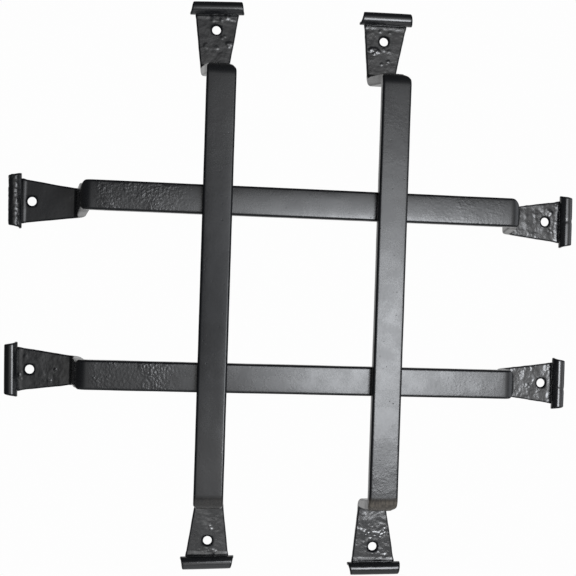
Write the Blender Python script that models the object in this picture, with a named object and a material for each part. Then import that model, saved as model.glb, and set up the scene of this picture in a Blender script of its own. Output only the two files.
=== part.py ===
"""Window security bar: four bent steel bars welded into a grille that stands off the wall.

Two uprights cross in front of two cross bars. Each bar is one strip: a flat front run, a leg
at each end going back to the wall, a forged fishtail foot with a screw hole, and a curl rolled
forward over the foot. Axes: X to the right, Z up, the room side faces -Y, the wall is y = 0.
The origin is the middle of the grille in the wall plane.
"""

import math
from dataclasses import dataclass

import bmesh
import bpy
from mathutils import Vector

# ---- driving dimensions, metres ----
BAR_WIDTH = 0.0254
BAR_THICKNESS = 0.0095
UPRIGHT_SPACING = 0.1505    # between the centre lines of the uprights
CROSSBAR_SPACING = 0.152    # between the centre lines of the cross bars
STANDOFF = 0.054            # wall to the front face of a cross bar
FIT_GAP = 0.0003            # clearance kept where welded pieces touch

LEG_SLANT = math.radians(11.0)      # how far a leg splays outwards on its way to the wall
BEND_RADIUS = 0.0025                # inner radius of both bends of a leg

FOOT_THICKNESS = 0.0042             # forged thinner than the bar
FOOT_WIDTH = 0.0270                 # at the leg, before it flares
FOOT_FLARE = 0.273                  # width gained per metre of strip towards the curl
HOLE_DIAMETER = 0.008
SQUARE_PAST_HOLE = 0.0075           # how far past its hole a foot stays square

CURL_RADIUS = 0.0059                # outside
CURL_THICKNESS = 0.0030
CURL_ANGLE = math.radians(288.0)

EDGE_SHARE = 0.15                   # corner chamfer as a share of the strip's thickness

WELD_LEG = 0.005                    # fillet size
WELD_LENGTH = 0.021

BEND_STEPS = 7
CURL_STEPS = 18
HOLE_SEGMENTS = 36
WELD_ARC_STEPS = 5
WELD_STATIONS = 9

PAINT_BLACK = (0.012, 0.012, 0.014, 1.0)


@dataclass
class End:
    """One hand-forged end of a bar, measured from the bar's middle."""
    run: float      # to the outer corner where the front run turns back
    reach: float    # to the outside of the curl
    hole: float     # to the screw hole
    lean: float     # sideways set of the foot, towards +X on an upright, +Z on a cross bar
    turn: float     # how far the foot is turned in the wall plane, degrees
    skew: float     # how far the curl is rolled out of square with the foot, degrees


@dataclass
class Bar:
    name: str
    upright: bool
    offset: float   # centre line, X of an upright or Z of a cross bar
    minus: End      # the lower end of an upright, the left end of a cross bar
    plus: End       # the upper or right end


BARS = [
    Bar("upright_left", True, -UPRIGHT_SPACING / 2,
        minus=End(run=0.1858, reach=0.2540, hole=0.2290, lean=0.0030, turn=-0.8, skew=2.4),
        plus=End(run=0.1900, reach=0.2595, hole=0.2350, lean=-0.0045, turn=1.0, skew=-3.8)),
    Bar("upright_right", True, UPRIGHT_SPACING / 2,
        minus=End(run=0.1865, reach=0.2590, hole=0.2340, lean=0.0030, turn=3.0, skew=-2.0),
        plus=End(run=0.1895, reach=0.2595, hole=0.2340, lean=-0.0020, turn=3.2, skew=-3.9)),
    Bar("crossbar_upper", False, CROSSBAR_SPACING / 2,
        minus=End(run=0.1900, reach=0.2580, hole=0.2380, lean=-0.0030, turn=0.0, skew=-1.3),
        plus=End(run=0.1930, reach=0.2605, hole=0.2360, lean=-0.0025, turn=1.0, skew=-0.6)),
    Bar("crossbar_lower", False, -CROSSBAR_SPACING / 2,
        minus=End(run=0.1900, reach=0.2575, hole=0.2360, lean=-0.0005, turn=0.0, skew=-1.2),
        plus=End(run=0.1925, reach=0.2585, hole=0.2375, lean=-0.0020, turn=0.0, skew=0.0)),
]


@dataclass
class Station:
    """One cross-section of a strip, given at the middle of its wall-side face."""
    along: float        # distance from the bar's middle
    height: float       # distance in front of the wall
    tilt: float         # angle of the strip's direction, 0 is outwards, + is to the front
    thickness: float
    width: float
    sideways: float
    turn: float         # radians, about the foot's pivot
    skew: float         # radians out of square


def front_height(bar):
    """Height of a bar's front face above the wall."""
    if bar.upright:
        return STANDOFF + FIT_GAP + BAR_THICKNESS
    return STANDOFF


def arc(centre, radius, start, end, steps, forward):
    """Points and directions round a bend; forward bends have their centre on the front side."""
    for step in range(1, steps + 1):
        tilt = start + (end - start) * step / steps
        side = -1.0 if forward else 1.0
        along = centre[0] - side * radius * math.sin(tilt)
        height = centre[1] + side * radius * math.cos(tilt)
        yield along, height, tilt


def foot_pivot(bar, end):
    """Distance from the bar's middle to the corner where leg and foot would meet."""
    bend = math.pi / 2 - LEG_SLANT
    inner_corner = end.run - BAR_THICKNESS * math.tan(bend / 2)
    drop = front_height(bar) - BAR_THICKNESS
    return inner_corner + drop * math.tan(LEG_SLANT)


def end_stations(bar, end):
    """Sections of one end from the front run out to the free edge of the curl."""
    bend = math.pi / 2 - LEG_SLANT
    back = front_height(bar) - BAR_THICKNESS
    corner = end.run - BAR_THICKNESS * math.tan(bend / 2)
    pivot = foot_pivot(bar, end)
    outer_radius = BEND_RADIUS + BAR_THICKNESS
    turn = math.radians(end.turn)
    rows = []

    def add(along, height, tilt, thickness, width, set_over, turned, skewed=0.0):
        sideways = end.lean * set_over
        skew = math.radians(end.skew) * skewed
        rows.append(Station(along, height, tilt, thickness, width, sideways, turn * turned, skew))

    # front run to the first bend, which turns back round the wall-side face
    start = corner - BEND_RADIUS * math.tan(bend / 2)
    add(start, back, 0.0, BAR_THICKNESS, BAR_WIDTH, 0.0, 0.0)
    centre = (start, back - BEND_RADIUS)
    for along, height, tilt in arc(centre, BEND_RADIUS, 0.0, -bend, BEND_STEPS, False):
        add(along, height, tilt, BAR_THICKNESS, BAR_WIDTH, 0.0, 0.0)

    # leg, then the second bend, which turns out along the wall and thins into the foot
    foot_start = pivot + outer_radius * math.tan(bend / 2)
    centre = (foot_start, outer_radius)
    leg_foot = outer_radius * (1.0 - math.cos(bend))
    leg_along = foot_start - outer_radius * math.sin(bend)
    lean_at_foot = 0.85
    add(leg_along, leg_foot, -bend, BAR_THICKNESS, BAR_WIDTH, lean_at_foot, 0.0)
    for along, height, tilt in arc(centre, outer_radius, -bend, 0.0, BEND_STEPS, True):
        share = 1.0 + tilt / bend
        thickness = BAR_THICKNESS + (FOOT_THICKNESS - BAR_THICKNESS) * share
        width = BAR_WIDTH + (FOOT_WIDTH - BAR_WIDTH) * share
        add(along, height, tilt, thickness, width, lean_at_foot + (1 - lean_at_foot) * share, share)

    # fishtail foot, flat on the wall and flaring towards the curl; it skews beyond the hole
    curl_at = end.reach - CURL_RADIUS
    foot_length = curl_at - foot_start
    square_to = (end.hole + SQUARE_PAST_HOLE - foot_start) / foot_length
    for share in (square_to / 2, square_to, (square_to + 1) / 2, 1.0):
        length = foot_length * share
        thickness = FOOT_THICKNESS + (CURL_THICKNESS - FOOT_THICKNESS) * share
        width = FOOT_WIDTH + FOOT_FLARE * length
        skewed = max(0.0, share - square_to) / (1 - square_to)
        add(foot_start + length, 0.0, 0.0, thickness, width, 1.0, 1.0, skewed)

    # curl rolled forward until its free edge hangs just over the foot
    centre = (curl_at, CURL_RADIUS)
    for along, height, tilt in arc(centre, CURL_RADIUS, 0.0, CURL_ANGLE, CURL_STEPS, True):
        width = FOOT_WIDTH + FOOT_FLARE * (foot_length + CURL_RADIUS * tilt)
        add(along, height, tilt, CURL_THICKNESS, width, 1.0, 1.0, 1.0)
    return rows


def section_points(station, pivot):
    """The eight corners of a chamfered section, as (along, sideways, height)."""
    half = station.width / 2
    thick = station.thickness
    cut = thick * EDGE_SHARE
    outline = [
        (-half + cut, 0.0), (half - cut, 0.0), (half, cut), (half, thick - cut),
        (half - cut, thick), (-half + cut, thick), (-half, thick - cut), (-half, cut),
    ]
    normal = (-math.sin(station.tilt), math.cos(station.tilt))
    cosine = math.cos(station.turn)
    sine = math.sin(station.turn)
    points = []
    for across, depth in outline:
        along = station.along + normal[0] * depth
        height = station.height + normal[1] * depth
        out = along - pivot - across * math.tan(station.skew)
        turned_out = out * cosine - across * sine
        turned_across = out * sine + across * cosine
        points.append((pivot + turned_out, station.sideways + turned_across, height))
    return points


def place(bar, along, sideways, height):
    """A point in world coordinates from a bar's own along, sideways and height."""
    if bar.upright:
        return Vector((bar.offset + sideways, -height, along))
    return Vector((along, -height, bar.offset + sideways))


def hole_centre(bar, end, sign):
    """World point on the wall plane at the middle of a screw hole."""
    turn = math.radians(end.turn)
    out = end.hole - foot_pivot(bar, end)
    along = foot_pivot(bar, end) + out * math.cos(turn)
    sideways = end.lean + out * math.sin(turn)
    return place(bar, sign * along, sideways, 0.0)


def strip_rings(bar):
    """Every section of a bar in order from one free edge to the other, in world coordinates."""
    rings = []
    for sign, end in ((-1.0, bar.minus), (1.0, bar.plus)):
        pivot = foot_pivot(bar, end)
        half = []
        for station in end_stations(bar, end):
            ring = []
            for along, sideways, height in section_points(station, pivot):
                ring.append(place(bar, sign * along, sideways, height))
            half.append(ring)
        rings.append(half)
    return rings


def new_object(name, bm, material):
    """Turn a closed bmesh into a named object with its faces pointing out."""
    bmesh.ops.recalc_face_normals(bm, faces=bm.faces)
    mesh = bpy.data.meshes.new(name)
    bm.to_mesh(mesh)
    bm.free()
    mesh.materials.append(material)
    mesh.shade_smooth()
    mesh.set_sharp_from_angle(angle=math.radians(35.0))
    obj = bpy.data.objects.new(name, mesh)
    bpy.context.scene.collection.objects.link(obj)
    return obj


def loft(bm, rings):
    """Skin a list of closed rings and cap both ends."""
    loops = [[bm.verts.new(point) for point in ring] for ring in rings]
    for first, second in zip(loops, loops[1:]):
        count = len(first)
        for index in range(count):
            after = (index + 1) % count
            bm.faces.new((first[index], first[after], second[after], second[index]))
    bm.faces.new(loops[0])
    bm.faces.new(list(reversed(loops[-1])))


def paint(name, roughness):
    """Black enamel over steel."""
    material = bpy.data.materials.new(name)
    material.use_nodes = True
    shader = material.node_tree.nodes["Principled BSDF"]
    shader.inputs["Base Color"].default_value = PAINT_BLACK
    shader.inputs["Roughness"].default_value = roughness
    shader.inputs["Metallic"].default_value = 0.0
    return material


def drill(obj, name, centre):
    """Cut one screw hole straight through a foot."""
    bm = bmesh.new()
    bmesh.ops.create_cone(bm, cap_ends=True, segments=HOLE_SEGMENTS, radius1=HOLE_DIAMETER / 2,
                          radius2=HOLE_DIAMETER / 2, depth=4 * FOOT_THICKNESS)
    mesh = bpy.data.meshes.new(name)
    bm.to_mesh(mesh)
    bm.free()
    cutter = bpy.data.objects.new(name, mesh)
    bpy.context.scene.collection.objects.link(cutter)
    cutter.location = centre
    cutter.rotation_euler = (math.pi / 2, 0.0, 0.0)
    cutter.hide_render = True
    cutter.display_type = "WIRE"
    cut = obj.modifiers.new(name, "BOOLEAN")
    cut.operation = "DIFFERENCE"
    cut.solver = "EXACT"
    cut.object = cutter


def make_bar(bar):
    """One bent and forged bar with its two screw holes."""
    minus, plus = strip_rings(bar)
    bm = bmesh.new()
    loft(bm, list(reversed(minus)) + plus)
    obj = new_object(bar.name, bm, paint(bar.name + "_paint", 0.32))
    drill(obj, bar.name + "_hole_minus", hole_centre(bar, bar.minus, -1.0))
    drill(obj, bar.name + "_hole_plus", hole_centre(bar, bar.plus, 1.0))
    return obj


def make_weld(name, x, z, side):
    """A fillet bead in the corner of an upright's back and a cross bar's edge."""
    corner_z = z + side * (BAR_WIDTH / 2 + FIT_GAP)
    corner_height = STANDOFF
    rings = []
    for index in range(WELD_STATIONS):
        share = 2.0 * index / (WELD_STATIONS - 1) - 1.0
        size = WELD_LEG * (0.45 + 0.55 * math.sqrt(1.0 - 0.97 * share * share))
        ring = [Vector((x + share * WELD_LENGTH / 2, -corner_height, corner_z))]
        for step in range(WELD_ARC_STEPS + 1):
            angle = math.pi / 2 * step / WELD_ARC_STEPS
            bulge = 1.0 - 0.2 * math.sin(2 * angle)
            ring.append(Vector((
                x + share * WELD_LENGTH / 2,
                -corner_height + size * bulge * math.sin(angle),
                corner_z + side * size * bulge * math.cos(angle),
            )))
        rings.append(ring)
    bm = bmesh.new()
    loft(bm, rings)
    return new_object(name, bm, paint(name + "_paint", 0.40))


def make_welds():
    """Two beads behind each of the four crossings, above and below the cross bar."""
    for side_name, x in (("left", -UPRIGHT_SPACING / 2), ("right", UPRIGHT_SPACING / 2)):
        for level_name, z in (("upper", CROSSBAR_SPACING / 2), ("lower", -CROSSBAR_SPACING / 2)):
            crossing = f"weld_{level_name}_{side_name}"
            make_weld(crossing + "_above", x, z, 1.0)
            make_weld(crossing + "_below", x, z, -1.0)


def clear_scene():
    for obj in list(bpy.data.objects):
        bpy.data.objects.remove(obj, do_unlink=True)


def main():
    clear_scene()
    for bar in BARS:
        make_bar(bar)
    make_welds()


main()
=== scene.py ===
"""Looks of the window security bar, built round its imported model.

Each of the four bars is rebuilt as one bent strip with rounded edges, hammered fishtail feet,
drilled holes with softened rims and rolled curls. Each weld becomes a rippled bead. Everything
wears the same black enamel. Axes are the model's own: X to the right, Z up, the room side faces
-Y and the wall is y = 0.
"""

import math
import random
from dataclasses import dataclass, field

import bmesh
import bpy
import numpy as np
from mathutils import Matrix, Vector, noise


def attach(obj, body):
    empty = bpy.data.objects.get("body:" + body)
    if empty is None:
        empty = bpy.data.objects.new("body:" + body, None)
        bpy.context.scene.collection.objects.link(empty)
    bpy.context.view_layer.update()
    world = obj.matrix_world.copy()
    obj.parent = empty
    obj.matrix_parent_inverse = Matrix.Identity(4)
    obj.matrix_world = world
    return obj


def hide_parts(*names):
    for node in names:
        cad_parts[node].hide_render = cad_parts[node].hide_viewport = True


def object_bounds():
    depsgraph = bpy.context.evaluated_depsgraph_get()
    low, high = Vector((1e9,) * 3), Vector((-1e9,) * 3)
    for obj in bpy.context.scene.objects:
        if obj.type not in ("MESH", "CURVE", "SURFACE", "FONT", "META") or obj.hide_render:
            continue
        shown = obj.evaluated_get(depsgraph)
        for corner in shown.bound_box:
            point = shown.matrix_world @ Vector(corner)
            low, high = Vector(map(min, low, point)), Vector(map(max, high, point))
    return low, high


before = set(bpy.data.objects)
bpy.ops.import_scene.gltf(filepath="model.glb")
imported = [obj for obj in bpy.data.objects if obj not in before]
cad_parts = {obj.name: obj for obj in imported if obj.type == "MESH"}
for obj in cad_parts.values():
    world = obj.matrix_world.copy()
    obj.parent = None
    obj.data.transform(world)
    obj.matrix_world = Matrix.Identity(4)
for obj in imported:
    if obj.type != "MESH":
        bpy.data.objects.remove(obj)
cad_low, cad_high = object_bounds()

MM = 0.001

# ---- driving dimensions of the bars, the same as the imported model's, metres ----
BAR_WIDTH = 0.0254
BAR_THICKNESS = 0.0095
UPRIGHT_SPACING = 0.1505
CROSSBAR_SPACING = 0.152
STANDOFF = 0.054            # wall to the front face of a cross bar
FIT_GAP = 0.0003

LEG_SLANT = math.radians(11.0)
LEG_BEND = math.pi / 2 - LEG_SLANT      # how far the strip turns at each bend of a leg
BEND_RADIUS = 0.0025
LEAN_AT_LEG = 0.85          # share of a foot's sideways set that its leg has by the wall

FOOT_THICKNESS = 0.0042
FOOT_WIDTH = 0.0270
FOOT_FLARE = 0.273
HOLE_RADIUS = 0.0039        # drilled 8 mm, less the paint on its wall
SQUARE_PAST_HOLE = 0.0075   # how far past its hole a foot stays square

CURL_RADIUS = 0.0059
CURL_THICKNESS = 0.0030
CURL_ANGLE = math.radians(288.0)

WELD_LEG = 0.005
WELD_LENGTH = 0.021

# ---- how finely the strips and beads are skinned ----
FACE_STEPS = 36             # across the front or back face
CORNER_STEPS = 3            # round each rounded edge
SIDE_STEPS = 4              # across each narrow side
SIDE_POINTS = 2 * CORNER_STEPS + SIDE_STEPS - 1     # between a back face's edge and a front's
FRONT_LAST = 2 * FACE_STEPS + SIDE_POINTS + 1       # index of the last point of a front face
RUN_SPACING = 2.5 * MM      # between sections on the front run
LEG_SPACING = 1.2 * MM
FOOT_SPACING = 0.55 * MM
FRONT_BEND_STEPS = 16
BACK_BEND_STEPS = 16
CURL_STEPS = 44
EDGE_STEPS = 3              # rounding the free edge of a curl
RIM_STEPS = 4               # rounding the edge of a screw hole
PATCH_LOOPS = 3             # between that edge and the regular skin
WELD_RINGS = 60
WELD_ARC = 14

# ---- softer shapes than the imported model's ----
ROLLED_EDGE = 0.20          # edge radius as a share of thickness on the rolled bar
FORGED_EDGE = 0.30          # and on the forged foot
CROWN = 0.22 * MM           # how far a rolled face falls away before its rounded edge
FORGED_CROWN = 0.5          # share of that on the forged foot
SHOULDER_DEPTH = 7.0 * MM   # behind the front face, where a drawn-in shoulder starts to fill out
SHOULDER_FADE = 16.0 * MM
RISE_FROM = 15.8 * MM       # from a bar's tip back to where its foot starts to lift
RISE_LENGTH = 3.2 * MM
CURL_ZONE = 12.0 * MM       # from a bar's tip back to where its curl ends
CURL_BLEND = 3.0 * MM       # over which the foot's finish turns into the curl's
RIM_RADIUS = 1.3 * MM       # softened edge of a screw hole
PATCH_MARGIN = 1.3 * MM     # kept round the rim before the regular skin starts
WELD_RIPPLE = 1.7 * MM      # from one ripple of a bead to the next
WELD_SINK = 0.35 * MM       # how far a bead bites into the bars
WELD_FILL = 0.9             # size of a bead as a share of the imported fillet

# ---- relief of the faces: sizes in metres, depths in millimetres ----
SINK = 0.06                 # of the whole relief, so that most of it lies below the faces
WAVE_SIZE = 0.031           # long shallow waves of the rolled bar
WAVE_DEPTH = 0.10
RIPPLE_SIZE = 0.0095        # shorter ones over them
RIPPLE_DEPTH = 0.035
HAMMER_SIZE = 0.0085        # between the hammer marks of a foot
HAMMER_DEPTH = 0.55
HAMMER_SINK = 0.50
WRINKLE_COARSE = 0.0027     # wrinkles of the thick paint on a foot
WRINKLE_FINE = 0.0014
WRINKLE_DEPTH = 0.26
WRINKLE_PATCH = 0.013       # over which they come and go
SWAY_SIZE = 0.017           # slow waves of a foot
SWAY_DEPTH = 0.24
LIFT_SHARE = 0.7            # of an end's rise that its front face takes
CREST_WRINKLE = 0.45        # depths on the crest of a curl
CREST_HAMMER = 0.4
DENT_DEPTH = 0.35
DENT_REACH = 1.6            # half-width of a dent along the curl, millimetres
FOOT_ZONE = 0.010           # height above the wall within which only feet lie
BACK_ZONE = 0.012           # and within which backs have to stay flat

# ---- paint ----
PAINT_DARK = (0.0058, 0.0062, 0.0072)
PAINT_PALE = (0.0086, 0.0090, 0.0102)
ROUGHNESS_LOW = 0.23
ROUGHNESS_HIGH = 0.31
FORGE_GLOSS = 0.05          # taken off the roughness on a foot
FULL_GLOSS = 0.07           # and where the paint is at its smoothest
WELD_SHINE = 0.5
PEEL_SCALE = 430.0          # orange peel, per metre
PEEL_DEPTH = 0.27 * MM
PIT_SCALE = 310.0           # cells that may hold a pit, per metre
PIT_DEPTH = 0.08 * MM
PIT_RARITY = 0.86           # share of the cells left without one
DUST_SCALE = 2600.0
DUST_DEPTH = 0.008 * MM
GRAIN_FROM = 0.085          # from the bar's middle, where the orange peel of an end starts
GRAIN_TO = 0.140
GRAIN_CLEAR = 9.0 * MM      # kept smooth before the front bend
GRAIN_BASE = 0.12           # orange peel found everywhere
END_SHINE_AT = 0.150        # from the bar's middle, where a bar's end_shine is reached
SHADED_EDGE_ZONE = 1.5 * MM        # width of the painted dark line of shade along an edge
SHADED_EDGE_SHEEN = 0.20           # share of the sheen left in that painted line of shade on an edge
RIM_SHADE = 1.25             # how dark the painted shade round a screw hole is, against 1 on an edge
BEND_PATCH_LENGTH = 12.0 * MM      # of the pale brown patch on a front bend
BEND_PATCH_START = 0.4             # share of that length over which it comes in
BEND_PATCH_BROWN = (0.082, 0.072, 0.060)
BEND_PATCH_DULL = 0.55          # share of the sheen lost on that patch
CREASE_SHADE = 0.75          # and in a painted dark line of shade where that patch starts
RUN_FORGE_LIMIT = 0.3       # the rolled bar and its front bend are forged less than this

# ---- studio ----
LIGHT_TINT = (0.925, 0.955, 1.0)
BACKDROP_WHITE = 0.985      # seen behind the object
GLOW_FROM = Vector((0.30, -0.93, -0.20)).normalized()   # direction of the room's soft glow
GLOW_FOCUS = 6.0
GLOW_STRENGTH = 1.9
ROOM_DIM = 0.06             # light from the sides of the room
ROOM_BEHIND = 0.75          # and from the sweep behind the object
SWEEP_FROM = 0.40           # how straight back a direction points where the sweep starts
SWEEP_TO = 0.84
FLOOR_DROP = 0.34           # below the grille
FLOOR_WHITE = (0.86, 0.86, 0.86, 1.0)
FLOOR_LIFT = 0.28           # keeps the floor pale where little light falls on it
CAMERA_AT = (-0.1003, -0.7955, -0.0091)
CAMERA_AIM = (-0.0193, 0.0, -0.0176)
CAMERA_ROLL = math.radians(1.841)
CAMERA_LENS = 54.375        # millimetres, on a 36 mm sensor
CAMERA_SHIFT = (0.0263, 0.0394)     # centres the grille in the picture


@dataclass
class Blisters:
    """A cluster of paint blisters on a foot, placed from its hole, millimetres."""
    out: float      # towards the curl
    across: float   # towards +X on an upright, +Z on a cross bar
    spread_out: float
    spread_across: float
    count: int
    size: float = 2.1       # of the largest, in radius
    steep: float = 0.25     # rise as a share of radius


@dataclass
class End:
    """One hand-forged end of a bar, measured from the bar's middle."""
    run: float      # to the outer corner where the front run turns back
    reach: float    # to the outside of the curl
    hole: float     # to the screw hole
    lean: float     # sideways set of the foot
    turn: float     # how far the foot is turned in the wall plane, degrees
    skew: float     # how far the curl is rolled out of square with the foot, degrees
    peel: float     # depth of the hammered and wrinkled relief, 1 is strong
    shoulders: tuple  # rounding of the strip's two corners where the front run turns back
    grain: float    # strength of the orange peel on this end of the front run
    curl: float     # depth of the relief on the curl
    shine: float    # sheen of the foot's paint, and curl_shine that of its curl: partly the paint's own, partly painted light set end by end
    curl_shine: float
    rise: float     # how far the foot's front face lifts before the curl, millimetres
    rubbed: float = 0.0     # how strong the pale brown patch on the front bend is
    dents: tuple = ()       # where along the curl's length its crest is pinched, millimetres
    blisters: list = field(default_factory=list)


@dataclass
class Bar:
    """One of the four bars; its minus end is the lower or the left one."""
    name: str
    upright: bool
    offset: float   # of its centre line from the grille's middle
    minus: End
    plus: End
    shine: float = 0.5      # sheen of the front run's paint: partly the paint's own, partly painted light set bar by bar
    gloss: float = 0.0      # how much smoother than the others its paint is
    bow: float = 0.0        # how far its front face falls away evenly towards the edges
    end_shine: float = 0.0  # painted reflection: how much stronger its sheen is near its ends, as a share of shine


BARS = [
    Bar("upright_left", True, -UPRIGHT_SPACING / 2,
        minus=End(0.1858, 0.2540, 0.2290, 0.0030, -0.8, 2.4,
                  peel=0.34, shoulders=(0.0012, 0.0012), grain=0.15, curl=0.06,
                  shine=1.0, curl_shine=0.75, rise=0.5, rubbed=0.2,
                  blisters=[Blisters(-11, 3, 1.5, 1.5, 3),
                            Blisters(9, 1, 2, 8, 9)]),
        plus=End(0.1900, 0.2595, 0.2350, -0.0045, 1.0, -3.8,
                 peel=0.55, shoulders=(0.0010, 0.0050), grain=0.15, curl=0.08,
                 shine=0.8, curl_shine=0.42, rise=0.4,
                 blisters=[Blisters(8.5, -1, 1.5, 5, 12, 2.4, 0.22),
                           Blisters(11, 10, 1.5, 5, 11, 2.4, 0.22),
                           Blisters(-15, -10, 2, 2, 5, 2.6, 0.17),
                           Blisters(-13, 12, 3, 1.5, 5, 3.2, 0.20),
                           Blisters(-16, 1, 2, 2, 4, 2.6, 0.14),
                           Blisters(-6, 6, 1.5, 2, 4, 2.4, 0.2)]),
        shine=0.172, gloss=0.25, end_shine=2.0),
    Bar("upright_right", True, UPRIGHT_SPACING / 2,
        minus=End(0.1865, 0.2590, 0.2340, 0.0030, 3.0, -2.0,
                  peel=0.75, shoulders=(0.0010, 0.0030), grain=0.7, curl=0.12,
                  shine=1.0, curl_shine=0.5, rise=0.4, rubbed=1.0,
                  blisters=[Blisters(-14, -9, 2.5, 2.5, 8, 1.3, 0.5),
                            Blisters(-14, 9, 2.5, 2.5, 8, 1.3, 0.5),
                            Blisters(-12, 1, 3.0, 8, 26, 1.3, 0.5),
                            Blisters(8, 8, 2, 4, 5)]),
        plus=End(0.1895, 0.2595, 0.2340, -0.0020, 3.2, -3.9,
                 peel=0.80, shoulders=(0.0010, 0.0055), grain=0.25, curl=0.05,
                 shine=0.85, curl_shine=0.5, rise=0.6,
                 blisters=[Blisters(-10, -8, 2.5, 4.5, 12, 2.6, 0.42),
                           Blisters(-18, 4, 1.5, 1.5, 3),
                           Blisters(-21, -1, 1, 1, 2),
                           Blisters(9.5, -4, 1, 2, 3),
                           Blisters(9.5, 5, 1, 1.5, 2),
                           Blisters(-8, 2, 1, 4, 4)])),
    Bar("crossbar_upper", False, CROSSBAR_SPACING / 2,
        minus=End(0.1900, 0.2580, 0.2380, -0.0030, 0.0, -1.3,
                  peel=0.15, shoulders=(0.0012, 0.0035), grain=2.7, curl=1.1,
                  shine=0.38, curl_shine=0.5, rise=1.0),
        plus=End(0.1930, 0.2605, 0.2360, -0.0025, 1.0, -0.6,
                 peel=1.35, shoulders=(0.0015, 0.0080), grain=0.7, curl=0.05,
                 shine=0.75, curl_shine=0.6, rise=0.6, dents=(1.5,),
                 blisters=[Blisters(6, -9, 2, 3, 6),
                           Blisters(6, 8, 2, 3, 5)]),
        bow=0.45 * MM),
    Bar("crossbar_lower", False, -CROSSBAR_SPACING / 2,
        minus=End(0.1900, 0.2575, 0.2360, -0.0005, 0.0, -1.2,
                  peel=0.85, shoulders=(0.0010, 0.0010), grain=2.7, curl=0.05,
                  shine=0.5, curl_shine=0.42, rise=0.5,
                  blisters=[Blisters(-23, 0, 0.4, 0.4, 1, 1.9, 0.6),
                            Blisters(-18, -8, 2, 2, 5),
                            Blisters(7, -8, 3, 3, 6),
                            Blisters(3, 11, 4, 2, 4)]),
        plus=End(0.1925, 0.2585, 0.2375, -0.0020, 0.0, 0.0,
                 peel=1.2, shoulders=(0.0040, 0.0040), grain=0.35, curl=0.08,
                 shine=0.75, curl_shine=0.6, rise=0.3, dents=(-5.0,),
                 blisters=[Blisters(-9, 12, 2, 2, 4),
                           Blisters(-14, -2, 2, 3, 4)])),
]


@dataclass
class Section:
    """One cross-section of a strip, given at the middle of its wall-side face."""
    along: float
    height: float
    tilt: float         # angle of the strip's direction, 0 is outwards, + is to the front
    thickness: float
    width: float
    sideways: float
    turn: float         # radians, about the foot's pivot
    forge: float        # 0 on the rolled bar, 1 on the foot and curl
    pinch: tuple = (0.0, 0.0)   # how far the front face's two corners are drawn in
    skew: float = 0.0   # radians out of square


# ---------------------------------------------------------------- bars

def front_height(bar):
    """Height of a bar's front face above the wall."""
    if bar.upright:
        return STANDOFF + FIT_GAP + BAR_THICKNESS
    return STANDOFF


def mix(first, second, share):
    return first + (second - first) * share


def smooth(share):
    """Eased 0 to 1."""
    share = min(1.0, max(0.0, share))
    return share * share * (3.0 - 2.0 * share)


def arc(centre, radius, start, end, steps, forward):
    """Points and directions round a bend; forward bends have their centre on the front side."""
    for step in range(1, steps + 1):
        tilt = mix(start, end, step / steps)
        side = -1.0 if forward else 1.0
        along = centre[0] - side * radius * math.sin(tilt)
        height = centre[1] + side * radius * math.cos(tilt)
        yield along, height, tilt


def shares(length, spacing):
    """Evenly spaced shares of a length, from just after 0 up to 1."""
    count = max(1, round(length / spacing))
    return [step / count for step in range(1, count + 1)]


def foot_pivot(bar, end):
    """Distance from the bar's middle to the corner where leg and foot would meet."""
    inner_corner = end.run - BAR_THICKNESS * math.tan(LEG_BEND / 2)
    drop = front_height(bar) - BAR_THICKNESS
    return inner_corner + drop * math.tan(LEG_SLANT)


def foot_start(bar, end):
    """Distance from the bar's middle to where the foot lies flat on the wall."""
    return foot_pivot(bar, end) + (BEND_RADIUS + BAR_THICKNESS) * math.tan(LEG_BEND / 2)


def shoulder_pinch(end, outer, behind):
    """How far each corner is drawn in where the strip's outer face turns back to the wall."""
    kept = 1.0 - smooth((behind - SHOULDER_DEPTH) / SHOULDER_FADE)
    drawn = []
    for shoulder in end.shoulders:
        entered = min(shoulder, max(0.0, shoulder - (end.run - outer)))
        drawn.append(kept * (shoulder - math.sqrt(shoulder ** 2 - entered ** 2)))
    return tuple(drawn)


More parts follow.
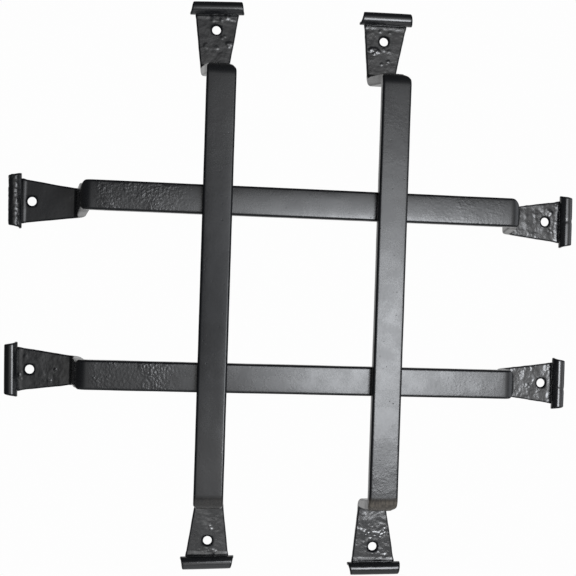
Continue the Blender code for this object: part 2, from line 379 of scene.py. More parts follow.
def end_sections(bar, end):
    """Sections of one end from the bar's middle out to the free edge of the curl."""
    back = front_height(bar) - BAR_THICKNESS
    corner = end.run - BAR_THICKNESS * math.tan(LEG_BEND / 2)
    outer_radius = BEND_RADIUS + BAR_THICKNESS
    turn = math.radians(end.turn)
    rows = []

    def add(along, height, tilt, thickness, width, set_over, turned, forge, skewed=0.0):
        sideways = end.lean * set_over
        outer = along - math.sin(tilt) * thickness
        behind = front_height(bar) - (height + math.cos(tilt) * thickness)
        pinch = shoulder_pinch(end, outer, behind)
        rows.append(Section(along, height, tilt, thickness, width, sideways, turn * turned, forge,
                            pinch, math.radians(end.skew) * skewed))

    # front run
    run_end = corner - BEND_RADIUS * math.tan(LEG_BEND / 2)
    add(0.0, back, 0.0, BAR_THICKNESS, BAR_WIDTH, 0.0, 0.0, 0.0)
    for share in shares(run_end, RUN_SPACING):
        add(run_end * share, back, 0.0, BAR_THICKNESS, BAR_WIDTH, 0.0, 0.0, 0.0)

    # first bend, round the wall-side face
    centre = (run_end, back - BEND_RADIUS)
    for along, height, tilt in arc(centre, BEND_RADIUS, 0.0, -LEG_BEND, FRONT_BEND_STEPS, False):
        add(along, height, tilt, BAR_THICKNESS, BAR_WIDTH, 0.0, 0.0, 0.0)
    leg_top = rows[-1]

    # slanted leg, set sideways as it goes back
    start = foot_start(bar, end)
    centre = (start, outer_radius)
    leg_foot = outer_radius * (1.0 - math.cos(LEG_BEND))
    leg_along = start - outer_radius * math.sin(LEG_BEND)
    leg_length = math.hypot(leg_along - leg_top.along, leg_top.height - leg_foot)
    for share in shares(leg_length, LEG_SPACING):
        add(mix(leg_top.along, leg_along, share), mix(leg_top.height, leg_foot, share), -LEG_BEND,
            BAR_THICKNESS, BAR_WIDTH, LEAN_AT_LEG * share, 0.0, 0.5 * smooth(share))

    # second bend, out along the wall, where the strip thins into the foot
    for along, height, tilt in arc(centre, outer_radius, -LEG_BEND, 0.0, BACK_BEND_STEPS, True):
        share = 1.0 + tilt / LEG_BEND
        add(along, height, tilt, mix(BAR_THICKNESS, FOOT_THICKNESS, share),
            mix(BAR_WIDTH, FOOT_WIDTH, share), mix(LEAN_AT_LEG, 1.0, share), share,
            mix(0.5, 1.0, share))

    # fishtail foot
    curl_at = end.reach - CURL_RADIUS
    foot_length = curl_at - start
    square_to = (end.hole + SQUARE_PAST_HOLE - start) / foot_length
    for share in shares(foot_length, FOOT_SPACING):
        length = foot_length * share
        add(start + length, 0.0, 0.0, mix(FOOT_THICKNESS, CURL_THICKNESS, share),
            FOOT_WIDTH + FOOT_FLARE * length, 1.0, 1.0, 1.0,
            max(0.0, share - square_to) / (1.0 - square_to))

    # curl rolled forward, and its rounded free edge
    centre = (curl_at, CURL_RADIUS)
    for along, height, tilt in arc(centre, CURL_RADIUS, 0.0, CURL_ANGLE, CURL_STEPS, True):
        width = FOOT_WIDTH + FOOT_FLARE * (foot_length + CURL_RADIUS * tilt)
        add(along, height, tilt, CURL_THICKNESS, width, 1.0, 1.0, 1.0, 1.0)
    free = rows[-1]
    for step in range(1, EDGE_STEPS + 1):
        angle = math.pi / 2 * step / (EDGE_STEPS + 0.6)
        inset = CURL_THICKNESS / 2 * (1.0 - math.cos(angle))
        onward = CURL_THICKNESS / 4 * math.sin(angle)
        add(free.along + math.cos(free.tilt) * onward - math.sin(free.tilt) * inset,
            free.height + math.sin(free.tilt) * onward + math.cos(free.tilt) * inset,
            free.tilt, CURL_THICKNESS - 2 * inset, free.width - inset, 1.0, 1.0, 1.0, 1.0)
    return rows


def outline(width, thickness, radius):
    """Rounded outline of a section as (across, depth) points: back, right side, front, left."""
    flat = width / 2 - radius
    back = [(flat * share, 0.0) for share in np.linspace(-1.0, 1.0, FACE_STEPS + 1)]
    right = []
    for step in range(1, CORNER_STEPS + 1):
        angle = math.pi / 2 * (step / CORNER_STEPS - 1.0)
        right.append((flat + radius * math.cos(angle), radius + radius * math.sin(angle)))
    for step in range(1, SIDE_STEPS):
        right.append((width / 2, radius + (thickness - 2 * radius) * step / SIDE_STEPS))
    for step in range(CORNER_STEPS):
        angle = math.pi / 2 * step / CORNER_STEPS
        depth = thickness - radius + radius * math.sin(angle)
        right.append((flat + radius * math.cos(angle), depth))
    half = back + right
    return half + [(-across, thickness - depth) for across, depth in half]


def worked(points, width, thickness, crown, bow, pinch):
    """Crown the faces of an outline, bow its front and draw in the corners of its front."""
    moved = []
    for across, depth in points:
        share = abs(across) / (width / 2)
        fall = crown * share ** 4 * (2.0 * depth / thickness - 1.0)
        fall += bow * share ** 2 * max(0.0, depth / thickness)
        drawn = pinch[across > 0.0] * max(0.0, depth / thickness) ** 0.6 / (width / 2)
        moved.append((across * (1.0 - drawn), depth - fall))
    return moved


def place(bar, along, sideways, height):
    """A point in the model's frame from a bar's own along, sideways and height."""
    if bar.upright:
        return Vector((bar.offset + sideways, -height, along))
    return Vector((along, -height, bar.offset + sideways))


def on_section(bar, sign, pivot, section, across, depth):
    """A point of a section, its foot turned about the pivot, in the model's frame."""
    along = section.along - math.sin(section.tilt) * depth
    height = section.height + math.cos(section.tilt) * depth
    out = along - pivot - across * math.tan(section.skew)
    turned_out = out * math.cos(section.turn) - across * math.sin(section.turn)
    turned_across = out * math.sin(section.turn) + across * math.cos(section.turn)
    return place(bar, sign * (pivot + turned_out), section.sideways + turned_across, height)


class Skin:
    """A strip's mesh as it is made: vertices, faces, how forged and how near an edge each is."""

    def __init__(self):
        self.points = []
        self.forge = []
        self.edge = []
        self.faces = []

    def add(self, point, forge, edge=0.0):
        self.points.append(point)
        self.forge.append(forge)
        self.edge.append(edge)
        return len(self.points) - 1

    def band(self, first, second):
        """Quads between two closed loops of the same length."""
        count = len(first)
        for index in range(count):
            after = (index + 1) % count
            self.faces.append((first[index], first[after], second[after], second[index]))


def mirror_index(index):
    """The point of a section across its thickness from this one."""
    return (FRONT_LAST - index) % (2 * (FACE_STEPS + 1 + SIDE_POINTS))


def cap(skin, ring):
    """Close a strip's free edge with quads from its back to its front."""
    count = len(ring)
    reach = (SIDE_POINTS + 1) // 2
    for index in range(-reach, FACE_STEPS + reach):
        corners = [index % count, (index + 1) % count]
        corners += [mirror_index(corner) for corner in reversed(corners)]
        unique = list(dict.fromkeys(corners))
        skin.faces.append(tuple(ring[corner] for corner in unique))


def hole_patch(skin, bar, end, sign, sections, rings):
    """Open a round hole with softened rims through a foot. Returns the grid cells it uses up."""
    reach = HOLE_RADIUS + RIM_RADIUS + PATCH_MARGIN
    pivot = foot_pivot(bar, end)
    foot = [row for row, section in enumerate(sections)
            if section.tilt == 0.0 and section.forge == 1.0]
    inside = [row for row in foot if abs(sections[row].along - end.hole) <= reach]
    low_row, high_row = inside[0], inside[-1]
    middle = sections[inside[len(inside) // 2]]
    flat = middle.width / 2 - FORGED_EDGE * middle.thickness
    column_reach = math.ceil(reach / (2 * flat / FACE_STEPS))
    low_column = FACE_STEPS // 2 - column_reach
    high_column = FACE_STEPS // 2 + column_reach

    edge = [(low_row, column) for column in range(low_column, high_column)]
    edge += [(row, high_column) for row in range(low_row, high_row)]
    edge += [(high_row, column) for column in range(high_column, low_column, -1)]
    edge += [(row, low_column) for row in range(high_row, low_row, -1)]

    start = foot_start(bar, end)
    length = end.reach - CURL_RADIUS - start

    def foot_point(out, across, depth_share, sunk):
        """A point near the hole: depth share 0 is the back face, 1 the front, sunk inwards."""
        along = end.hole + out
        thickness = mix(FOOT_THICKNESS, CURL_THICKNESS, (along - start) / length)
        depth = thickness * depth_share + (sunk if depth_share == 0.0 else -sunk)
        here = Section(along, 0.0, 0.0, thickness, 0.0, end.lean, math.radians(end.turn), 1.0)
        return on_section(bar, sign, pivot, here, across, depth)

    innermost = []
    for depth_share in (0.0, 1.0):
        loop = []
        rays = []
        for row, column in edge:
            index = column if depth_share == 0.0 else FRONT_LAST - column
            loop.append(rings[row][index])
            section = sections[row]
            edge_flat = section.width / 2 - FORGED_EDGE * section.thickness
            across = edge_flat * (2.0 * column / FACE_STEPS - 1.0)
            rays.append((section.along - end.hole, across))
        rim = HOLE_RADIUS + RIM_RADIUS
        for step in range(1, PATCH_LOOPS + 1):
            share = step / PATCH_LOOPS
            inner = []
            for out, across in rays:
                size = math.hypot(out, across)
                scale = mix(1.0, rim / size, share)
                point = foot_point(out * scale, across * scale, depth_share, 0.0)
                # painted shade, coming in towards the rim of the hole
                inner.append(skin.add(point, 1.0, RIM_SHADE * smooth(2.0 * share - 0.9)))
            skin.band(loop, inner)
            loop = inner
        for step in range(1, RIM_STEPS + 1):
            angle = math.pi / 2 * step / RIM_STEPS
            radius = HOLE_RADIUS + RIM_RADIUS * (1.0 - math.sin(angle))
            sunk = RIM_RADIUS * (1.0 - math.cos(angle))
            inner = []
            for out, across in rays:
                scale = radius / math.hypot(out, across)
                point = foot_point(out * scale, across * scale, depth_share, sunk)
                # painted shade over the softened rim
                inner.append(skin.add(point, 0.4, RIM_SHADE))
            skin.band(loop, inner)
            loop = inner
        innermost.append(loop)
    skin.band(innermost[0], innermost[1])
    return {(row, column) for row in range(low_row, high_row)
            for column in range(low_column, high_column)}


def half_skin(skin, bar, end, sign):
    """Skin half of a bar from its middle to the free edge of its curl; returns the middle ring."""
    sections = end_sections(bar, end)
    pivot = foot_pivot(bar, end)
    rings = []
    for section in sections:
        radius = mix(ROLLED_EDGE, FORGED_EDGE, section.forge) * section.thickness
        ring = []
        crown = CROWN * mix(1.0, FORGED_CROWN, section.forge)
        plain = outline(section.width, section.thickness, radius)
        bow = bar.bow * (1.0 - section.forge)
        moved = worked(plain, section.width, section.thickness, crown, bow, section.pinch)
        # painted shade: vertices on a rounded edge are marked for a dark line along it
        edge_depth = 0.9 * radius
        face_edge = section.width / 2 - max(edge_depth, SHADED_EDGE_ZONE)
        for (flat_across, flat_depth), (across, depth) in zip(plain, moved):
            point = on_section(bar, sign, pivot, section, across, depth)
            past_face = abs(flat_across) > face_edge
            past_side = min(flat_depth, section.thickness - flat_depth) < edge_depth
            ring.append(skin.add(point, section.forge, float(past_face and past_side)))
        rings.append(ring)
    opened = hole_patch(skin, bar, end, sign, sections, rings)
    for row, (first, second) in enumerate(zip(rings, rings[1:])):
        count = len(first)
        for index in range(count):
            after = (index + 1) % count
            on_back = (row, index) in opened
            on_front = (row, FRONT_LAST - after) in opened and index > FACE_STEPS + SIDE_POINTS
            if not on_back and not on_front:
                skin.faces.append((first[index], first[after], second[after], second[index]))
    cap(skin, rings[-1])
    return rings[0]


# ---------------------------------------------------------------- relief

def worley(point, size):
    """Distance to the nearest of a scatter of points about a size apart, in sizes."""
    return noise.voronoi(point / size)[0][0]


def blister_height(bar, end, sign, points):
    """Height of the paint blisters of one foot at each point, metres."""
    pivot = foot_pivot(bar, end)
    turn = math.radians(end.turn)
    rng = random.Random(bar.name + str(sign))
    total = np.zeros(len(points))
    for cluster in end.blisters:
        for _ in range(cluster.count):
            out = end.hole - pivot + (cluster.out + rng.gauss(0.0, 0.6) * cluster.spread_out) * MM
            across = (cluster.across + rng.gauss(0.0, 0.6) * cluster.spread_across) * MM
            radius = rng.uniform(0.5, 1.0) * cluster.size * MM
            rise = radius * rng.uniform(0.7, 1.3) * cluster.steep
            along = pivot + out * math.cos(turn) - across * math.sin(turn)
            sideways = end.lean + out * math.sin(turn) + across * math.cos(turn)
            centre = np.array(place(bar, sign * along, sideways, FOOT_THICKNESS))
            gap = np.linalg.norm((points - centre) * (1.0, 0.5, 1.0), axis=1) / radius
            dome = np.clip(1.0 - gap * gap, 0.0, 1.0)
            total = np.maximum(total, rise * dome * np.sqrt(dome))
    return total


def rolled_relief(where):
    """Long shallow waves of mill scale and thick paint on the rolled bar, millimetres."""
    wave = WAVE_DEPTH * noise.noise(where / WAVE_SIZE)
    ripple = RIPPLE_DEPTH * noise.noise(where / RIPPLE_SIZE)
    return wave + ripple - SINK


def forged_relief(bar, end, where, curl):
    """Hammer marks, wrinkles and lift of a foot, or the finish of its curl, millimetres."""
    marks = worley(where + Vector((0.3, 0.1, 0.2)), HAMMER_SIZE)
    hammer = HAMMER_DEPTH * marks - HAMMER_SINK
    wrinkle = 0.75 * noise.noise(where / WRINKLE_COARSE) + 0.25 * noise.noise(where / WRINKLE_FINE)
    patchy = max(0.15, 0.60 + 0.75 * noise.noise(where / WRINKLE_PATCH))
    sway = SWAY_DEPTH * noise.noise(where / SWAY_SIZE + Vector((5.1, 2.3, 0.7)))
    along, sideways = (where.z, where.x) if bar.upright else (where.x, where.z)
    short = end.reach - abs(along)
    lift = end.rise * LIFT_SHARE * smooth((RISE_FROM - short) / RISE_LENGTH)
    lift *= smooth((short - CURL_RADIUS) / CURL_RADIUS)
    foot = end.peel * (hammer + WRINKLE_DEPTH * wrinkle * patchy) + sway - SINK + lift

    across = (sideways - bar.offset - end.lean) / MM
    dent = sum(math.exp(-((across - centre) / DENT_REACH) ** 2) for centre in end.dents)
    crest = end.curl * (CREST_WRINKLE * wrinkle + CREST_HAMMER * hammer)
    return mix(foot, crest - DENT_DEPTH * dent - SINK, curl)


def relief(bar, points, normals, forge):
    """How far each vertex moves along its normal, metres."""
    offsets = np.zeros(len(points))
    curl = on_curl(bar, points)
    for index, point in enumerate(points):
        where = Vector(point)
        end = bar.plus if (point[2] if bar.upright else point[0]) > 0.0 else bar.minus
        forged = forged_relief(bar, end, where, curl[index])
        offsets[index] = mix(rolled_relief(where), forged, forge[index] ** 2) * MM
    facing_room = np.clip(-normals[:, 1] * 1.5 - 0.3, 0.0, 1.0)
    for sign, end in ((-1.0, bar.minus), (1.0, bar.plus)):
        offsets += blister_height(bar, end, sign, points) * facing_room
    # the feet stay flat on the wall, and only the front of a foot may stand proud
    on_back = (normals[:, 1] > 0.5) & (points[:, 1] > -BACK_ZONE)
    offsets = np.where(on_back, np.minimum(offsets, 0.0) * 0.5, offsets)
    on_foot = (points[:, 1] > -FOOT_ZONE) & (normals[:, 1] < -0.3)
    return np.where(on_foot, offsets, np.minimum(offsets, 0.0))


def eased(values):
    """Eased 0 to 1, for whole arrays."""
    share = np.clip(values, 0.0, 1.0)
    return share * share * (3.0 - 2.0 * share)


def on_curl(bar, points):
    """1 on the curls, 0 elsewhere."""
    along = points[:, 2] if bar.upright else points[:, 0]
    reach = np.where(along > 0.0, bar.plus.reach, bar.minus.reach)
    return eased((np.abs(along) - reach + CURL_ZONE) / CURL_BLEND)


def paint_traits(bar, points, forge, edge):
    """Per-vertex sheen with painted light and shade, orange peel, brown bend patch and smoothness.
    """
    along = points[:, 2] if bar.upright else points[:, 0]
    out = np.abs(along)
    curl = on_curl(bar, points)

    def of_end(trait):
        return np.where(along > 0.0, getattr(bar.plus, trait), getattr(bar.minus, trait))

    run_end = of_end("run") - GRAIN_CLEAR
    share = eased((out - GRAIN_FROM) / (GRAIN_TO - GRAIN_FROM))
    share *= eased((run_end - out) / GRAIN_CLEAR)
    grain = np.maximum(of_end("grain") * share, np.clip(of_end("peel"), 0.0, 1.0) * forge)
    grain = grain + (of_end("curl") - grain) * curl

    # a pale brown, duller patch on the front of the bend
    start = of_end("run") - BEND_PATCH_LENGTH
    in_bend = eased((out - start) / (BEND_PATCH_LENGTH * BEND_PATCH_START)) * (forge < RUN_FORGE_LIMIT)
    front = points[:, 1] < BAR_THICKNESS - front_height(bar)
    rubbed = of_end("rubbed") * in_bend * front
    # painted shade: a dark line across the bend where that patch starts
    crease_shade = 4.0 * in_bend * (1.0 - in_bend) * np.sqrt(of_end("rubbed")) * front

    # painted light over the paint's own sheen: set bar by bar and end by end, and stronger towards
    # the ends by end_shine
    shine = bar.shine * (1.0 + bar.end_shine * np.minimum(1.0, out / END_SHINE_AT) ** 2)
    shine = shine + (of_end("shine") - shine) * forge
    shine = shine + (of_end("curl_shine") - shine) * curl
    # painted shade: a dark line along each edge and round each hole, by taking off sheen
    shine = shine * np.maximum(0.0, 1.0 - (1.0 - SHADED_EDGE_SHEEN) * edge)
    shine = shine * (1.0 - BEND_PATCH_DULL * rubbed) * (1.0 - CREASE_SHADE * crease_shade)

    gloss = np.maximum(curl, bar.gloss * (1.0 - forge))
    return {"shine": shine, "grain": grain, "rubbed": rubbed, "gloss": gloss, "forge": forge}


def mesh_arrays(mesh):
    points = np.empty(len(mesh.vertices) * 3)
    mesh.vertices.foreach_get("co", points)
    normals = np.empty(len(mesh.vertices) * 3)
    mesh.vertex_normals.foreach_get("vector", normals)
    return points.reshape(-1, 3), normals.reshape(-1, 3)


def new_piece(name, points, faces, material):
    """A smooth-shaded object with its faces pointing out."""
    mesh = bpy.data.meshes.new(name)
    mesh.from_pydata(points, [], faces)
    bm = bmesh.new()
    bm.from_mesh(mesh)
    bmesh.ops.recalc_face_normals(bm, faces=bm.faces)
    bm.to_mesh(mesh)
    bm.free()
    mesh.shade_smooth()
    mesh.materials.append(material)
    piece = bpy.data.objects.new(name, mesh)
    bpy.context.scene.collection.objects.link(piece)
    return piece


def make_bar(bar, material):
    """One bent and forged bar in place of its CAD node."""
    skin = Skin()
    first = half_skin(skin, bar, bar.minus, -1.0)
    second = half_skin(skin, bar, bar.plus, 1.0)
    # the halves share their middle ring
    same = dict(zip(second, first))
    faces = [tuple(same.get(corner, corner) for corner in face) for face in skin.faces]
    kept = [index for index in range(len(skin.points)) if index not in same]
    renumber = {old: new for new, old in enumerate(kept)}
    faces = [tuple(renumber[corner] for corner in face) for face in faces]
    points = [skin.points[index] for index in kept]
    forge = np.array([skin.forge[index] for index in kept])
    edge = np.array([skin.edge[index] for index in kept])

    piece = new_piece(bar.name + "_enamelled", points, faces, material)
    places, normals = mesh_arrays(piece.data)
    offsets = relief(bar, places, normals, forge)
    piece.data.vertices.foreach_set("co", (places + normals * offsets[:, None]).ravel())
    for trait, values in paint_traits(bar, places, forge, edge).items():
        stored = piece.data.attributes.new(trait, "FLOAT", "POINT")
        stored.data.foreach_set("value", values.astype(np.float32))
    piece.data.update()
    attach(piece, "root")
    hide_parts(bar.name)


# ---------------------------------------------------------------- welds

def make_weld(node, x, z, side, material):
    """A rippled fillet bead in the corner of an upright's back and a cross bar's edge."""
    corner_z = z + side * (BAR_WIDTH / 2 + FIT_GAP - WELD_SINK)
    corner_y = -(STANDOFF + WELD_SINK)
    rng = random.Random(node)
    phase = rng.uniform(0.0, math.tau)
    points = []
    for ring in range(WELD_RINGS + 1):
        share = 2.0 * ring / WELD_RINGS - 1.0
        reach = math.sqrt(max(0.0, 1.0 - share ** 4))
        along = share * WELD_LENGTH / 2
        crest = math.cos(math.tau * along / WELD_RIPPLE + phase)
        size = (WELD_LEG * WELD_FILL + WELD_SINK) * (0.25 + 0.72 * reach)
        points.append(Vector((x + along, corner_y, corner_z)))
        for step in range(WELD_ARC + 1):
            turn = math.pi / 2 * step / WELD_ARC
            middle = math.sin(2.0 * turn)       # 1 half way between the two bars, 0 at each
            lag = 0.9 * MM * middle             # ripples bow along the bead
            ripple = 0.035 * middle * math.cos(math.tau * (along + lag) / WELD_RIPPLE + phase)
            where = Vector((along, turn * MM * 2.0, z)) / (3.2 * MM)
            uneven = 0.05 * noise.noise(where + Vector((phase, side, x * 40.0)))
            bulge = 1.0 - 0.17 * middle + ripple + uneven * reach
            points.append(Vector((
                x + along + 0.15 * MM * crest * middle * reach,
                corner_y + size * bulge * math.sin(turn),
                corner_z + side * size * bulge * math.cos(turn),
            )))
    width = WELD_ARC + 2
    faces = []
    for ring in range(WELD_RINGS):
        for step in range(width):
            first = ring * width + step
            after = ring * width + (step + 1) % width
            faces.append((first, after, after + width, first + width))
    faces.append(tuple(range(width)))
    last = WELD_RINGS * width
    faces.append(tuple(last + step for step in reversed(range(width))))
    piece = new_piece(node + "_bead", points, faces, material)
    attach(piece, "root")
    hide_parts(node)


def make_welds(material):
    """Two beads behind each of the four crossings, above and below the cross bar."""
    for side_name, x in (("left", -UPRIGHT_SPACING / 2), ("right", UPRIGHT_SPACING / 2)):
        for level_name, z in (("upper", CROSSBAR_SPACING / 2), ("lower", -CROSSBAR_SPACING / 2)):
            crossing = f"weld_{level_name}_{side_name}"
            make_weld(crossing + "_above", x, z, 1.0, material)
            make_weld(crossing + "_below", x, z, -1.0, material)


# ---------------------------------------------------------------- materials

class Nodes:
    """Short calls for building one material's node tree."""

    def __init__(self, name):
        self.material = bpy.data.materials.new(name)
        self.material.use_nodes = True
        self.tree = self.material.node_tree
        self.shader = self.tree.nodes["Principled BSDF"]
        self.place = self.new("ShaderNodeTexCoord").outputs["Object"]

    def new(self, kind, **settings):
        node = self.tree.nodes.new(kind)
        for key, value in settings.items():
            setattr(node, key, value)
        return node

    def link(self, source, target):
        self.tree.links.new(source, target)

    def noise(self, scale, detail=2.0):
        node = self.new("ShaderNodeTexNoise")
        node.inputs["Scale"].default_value = scale
        node.inputs["Detail"].default_value = detail
        self.link(self.place, node.inputs["Vector"])
        return node.outputs["Fac"]

    def streaks(self, scale):
        """Noise drawn out along an upright."""
        stretch = self.new("ShaderNodeVectorMath", operation="MULTIPLY")
        stretch.inputs[1].default_value = (1.0, 1.0, 0.12)
        self.link(self.place, stretch.inputs[0])
        node = self.new("ShaderNodeTexNoise")
        node.inputs["Scale"].default_value = scale
        self.link(stretch.outputs["Vector"], node.inputs["Vector"])
        return node.outputs["Fac"]

    def trait(self, name):
        """A value stored on the vertices."""
        return self.new("ShaderNodeAttribute", attribute_name=name).outputs["Fac"]

    def blend(self, share, first, second):
        """Blend a colour output towards a fixed colour."""
        node = self.new("ShaderNodeMix", data_type="RGBA")
        self.link(share, node.inputs["Factor"])
        colours = [socket for socket in node.inputs if socket.type == "RGBA"]
        self.link(first, colours[0])
        colours[1].default_value = (*second, 1.0)
        return [socket for socket in node.outputs if socket.type == "RGBA"][0]

    def scatter(self, scale):
        """Distance to the nearest scattered point, and that point's random number."""
        node = self.new("ShaderNodeTexVoronoi")
        node.inputs["Scale"].default_value = scale
        self.link(self.place, node.inputs["Vector"])
        parts = self.new("ShaderNodeSeparateColor")
        self.link(node.outputs["Color"], parts.inputs["Color"])
        return node.outputs["Distance"], parts.outputs["Red"]

    def spread(self, value, low, high, to_low, to_high):
        """Map a value's range to another, clamped and eased."""
        node = self.new("ShaderNodeMapRange", interpolation_type="SMOOTHSTEP")
        self.link(value, node.inputs["Value"])
        limits = {"From Min": low, "From Max": high, "To Min": to_low, "To Max": to_high}
        for key, number in limits.items():
            node.inputs[key].default_value = number
        return node.outputs["Result"]

    def maths(self, operation, first, second):
        return number_node(self.tree, operation, first, second)

    def ramp(self, value, stops):
        node = self.new("ShaderNodeValToRGB")
        points = node.color_ramp.elements
        while len(points) < len(stops):
            points.new(0.5)
        for point, (position, colour) in zip(points, stops):
            point.position = position
            point.color = (*colour, 1.0)
        self.link(value, node.inputs["Fac"])
        return node.outputs["Color"]

    def bump(self, height, distance, below=None):
        node = self.new("ShaderNodeBump")
        node.inputs["Strength"].default_value = 1.0
        node.inputs["Distance"].default_value = distance
        self.link(height, node.inputs["Height"])
        if below is not None:
            self.link(below, node.inputs["Normal"])
        return node.outputs["Normal"]


def black_enamel(name, on_bar):
    """Semi-gloss black enamel, near-black, with orange peel, scattered pits and fine dust."""
    nodes = Nodes(name)
    shader = nodes.shader
    shader.inputs["IOR"].default_value = 1.5
    shader.inputs["Metallic"].default_value = 0.0

    broad = nodes.noise(14.0, detail=3.0)
    colour = nodes.ramp(broad, [(0.3, PAINT_DARK), (0.7, PAINT_PALE)])
    dull = nodes.spread(nodes.noise(55.0, detail=4.0), 0.3, 0.7, ROUGHNESS_LOW, ROUGHNESS_HIGH)
    speckle = nodes.spread(nodes.noise(900.0), 0.3, 0.7, -0.02, 0.02)
    rough = nodes.maths("ADD", dull, speckle)

    if on_bar:
        grain = nodes.trait("grain")
        # the sheen stored on the vertices: painted light and shade over the paint's own
        nodes.link(nodes.trait("shine"), shader.inputs["Specular IOR Level"])
        # a pale brown patch in streaks on the front of the bend
        streaks = nodes.spread(nodes.streaks(700.0), 0.35, 0.65, 0.5, 1.0)
        rubbed = nodes.maths("MULTIPLY", nodes.trait("rubbed"), streaks)
        colour = nodes.blend(rubbed, colour, BEND_PATCH_BROWN)
        for trait, smoother in (("forge", FORGE_GLOSS), ("gloss", FULL_GLOSS)):
            taken_off = nodes.maths("MULTIPLY", nodes.trait(trait), smoother)
            rough = nodes.maths("SUBTRACT", rough, taken_off)
    else:
        grain = nodes.spread(nodes.noise(40.0), 0.3, 0.7, 0.5, 1.0)
        shader.inputs["Specular IOR Level"].default_value = WELD_SHINE
    nodes.link(colour, shader.inputs["Base Color"])
    nodes.link(rough, shader.inputs["Roughness"])

    # orange peel comes and goes along the bars and is heavier on the feet
    patch = nodes.spread(nodes.noise(48.0, detail=3.0), 0.36, 0.64, 0.35, 1.0)
    amount = nodes.maths("MULTIPLY", patch, nodes.maths("ADD", grain, GRAIN_BASE))
    peel = nodes.maths("MULTIPLY", nodes.noise(PEEL_SCALE), amount)
    normal = nodes.bump(peel, PEEL_DEPTH)
    distance, pick = nodes.scatter(PIT_SCALE)
    pit = nodes.spread(distance, 0.04, 0.22, 0.0, 1.0)
    rare = nodes.spread(pick, PIT_RARITY, PIT_RARITY + 0.04, 0.0, 1.0)
    pit = nodes.maths("MAXIMUM", pit, nodes.maths("SUBTRACT", 1.0, rare))
    normal = nodes.bump(pit, PIT_DEPTH, normal)
    normal = nodes.bump(nodes.noise(DUST_SCALE), DUST_DEPTH, normal)
    nodes.link(normal, shader.inputs["Normal"])
    return nodes.material


# ---------------------------------------------------------------- studio

def area_light(name, place_at, aim, size_x, size_y, power, shape="RECTANGLE"):
    data = bpy.data.lights.new(name, "AREA")
    data.shape = shape
    data.size = size_x
    data.size_y = size_y
    data.energy = power
    data.color = LIGHT_TINT
    light = bpy.data.objects.new(name, data)
    light.location = place_at
    light.rotation_mode = "QUATERNION"
    light.rotation_quaternion = (Vector(aim) - Vector(place_at)).to_track_quat("-Z", "Y")
    light.visible_camera = False
    bpy.context.scene.collection.objects.link(light)


def number_node(tree, operation, first, second):
    """A Math node; each of its two values is a number or another node's output."""
    node = tree.nodes.new("ShaderNodeMath")
    node.operation = operation
    for socket, value in zip(node.inputs, (first, second)):
        if isinstance(value, float):
            socket.default_value = value
        else:
            tree.links.new(value, socket)
    return node.outputs["Value"]


def make_world():
    """A white sweep behind the object, and a dim room with a soft glow in front of it."""
    world = bpy.data.worlds.new("studio")
    world.use_nodes = True
    tree = world.node_tree
    background = tree.nodes["Background"]
    background.inputs["Color"].default_value = (1.0, 1.0, 1.0, 1.0)
    bpy.context.scene.world = world

    direction = tree.nodes.new("ShaderNodeTexCoord").outputs["Generated"]

    # the front of the room is a broad soft glow, brightest down to the right
    facing = tree.nodes.new("ShaderNodeVectorMath")
    facing.operation = "DOT_PRODUCT"
    tree.links.new(direction, facing.inputs[0])
    facing.inputs[1].default_value = GLOW_FROM
    above_zero = number_node(tree, "MAXIMUM", facing.outputs["Value"], 0.0)
    lobe = number_node(tree, "POWER", above_zero, GLOW_FOCUS)
    front = number_node(tree, "MULTIPLY", lobe, GLOW_STRENGTH)

    parts = tree.nodes.new("ShaderNodeSeparateXYZ")
    tree.links.new(direction, parts.inputs["Vector"])
    behind = tree.nodes.new("ShaderNodeMapRange")
    behind.interpolation_type = "SMOOTHSTEP"
    limits = {"From Min": SWEEP_FROM, "From Max": SWEEP_TO,
              "To Min": ROOM_DIM, "To Max": ROOM_BEHIND}
    for key, value in limits.items():
        behind.inputs[key].default_value = value
    tree.links.new(parts.outputs["Y"], behind.inputs["Value"])
    room = number_node(tree, "ADD", front, behind.outputs["Result"])

    seen = tree.nodes.new("ShaderNodeLightPath").outputs["Is Camera Ray"]
    choose = tree.nodes.new("ShaderNodeMix")
    choose.data_type = "FLOAT"
    tree.links.new(seen, choose.inputs["Factor"])
    tree.links.new(room, choose.inputs["A"])
    choose.inputs["B"].default_value = BACKDROP_WHITE
    tree.links.new(choose.outputs["Result"], background.inputs["Strength"])


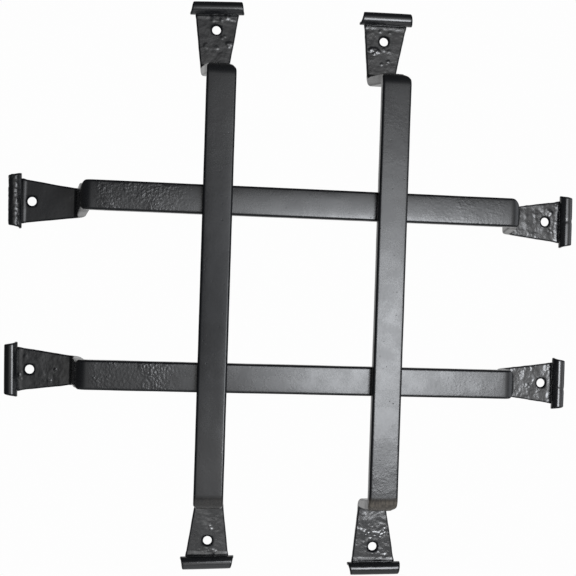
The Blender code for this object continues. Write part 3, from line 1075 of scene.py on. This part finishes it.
def make_floor():
    """A plain pale floor, far enough below the grille to stay out of the camera's view."""
    material = bpy.data.materials.new("pale_floor")
    material.use_nodes = True
    shader = material.node_tree.nodes["Principled BSDF"]
    shader.inputs["Base Color"].default_value = FLOOR_WHITE
    shader.inputs["Emission Color"].default_value = (1.0, 1.0, 1.0, 1.0)
    shader.inputs["Emission Strength"].default_value = FLOOR_LIFT
    shader.inputs["Roughness"].default_value = 0.7
    level = cad_low.z - FLOOR_DROP
    mesh = bpy.data.meshes.new("floor")
    corners = [(-1.2, -1.6, level), (1.2, -1.6, level), (1.2, 0.7, level), (-1.2, 0.7, level)]
    mesh.from_pydata(corners, [], [(0, 1, 2, 3)])
    mesh.materials.append(material)
    floor = bpy.data.objects.new("floor", mesh)
    bpy.context.scene.collection.objects.link(floor)


def make_camera():
    """The viewing angle: a little left of the middle and level with it."""
    data = bpy.data.cameras.new("camera")
    data.sensor_width = 36.0
    data.lens = CAMERA_LENS
    data.shift_x, data.shift_y = CAMERA_SHIFT
    camera = bpy.data.objects.new("camera", data)
    camera.location = CAMERA_AT
    look = (Vector(CAMERA_AIM) - camera.location).to_track_quat("-Z", "Y")
    roll = Matrix.Rotation(CAMERA_ROLL, 4, "Z")
    camera.rotation_mode = "QUATERNION"
    camera.rotation_quaternion = (look.to_matrix().to_4x4() @ roll).to_quaternion()
    bpy.context.scene.collection.objects.link(camera)
    bpy.context.scene.camera = camera


def make_lights():
    """A lamp low on the right, a broad glow over it and a panel out to the right side."""
    area_light("lamp", (0.25, -0.80, -0.12), (0.0, 0.0, 0.0), 0.36, 0.36, 3.55, "DISK")
    area_light("lamp_glow", (0.21, -0.82, 0.075), (0.0, 0.0, 0.0), 0.60, 0.36, 1.9, "ELLIPSE")
    area_light("side_panel", (1.5, -0.25, 0.1), (0.0, 0.0, 0.0), 0.9, 1.2, 4.0)


make_camera()
make_world()
make_lights()
make_floor()

bar_enamel = black_enamel("bar_enamel", on_bar=True)
weld_enamel = black_enamel("weld_enamel", on_bar=False)
for bar in BARS:
    make_bar(bar, bar_enamel)
make_welds(weld_enamel)

bpy.context.scene.view_settings.view_transform = "Standard"
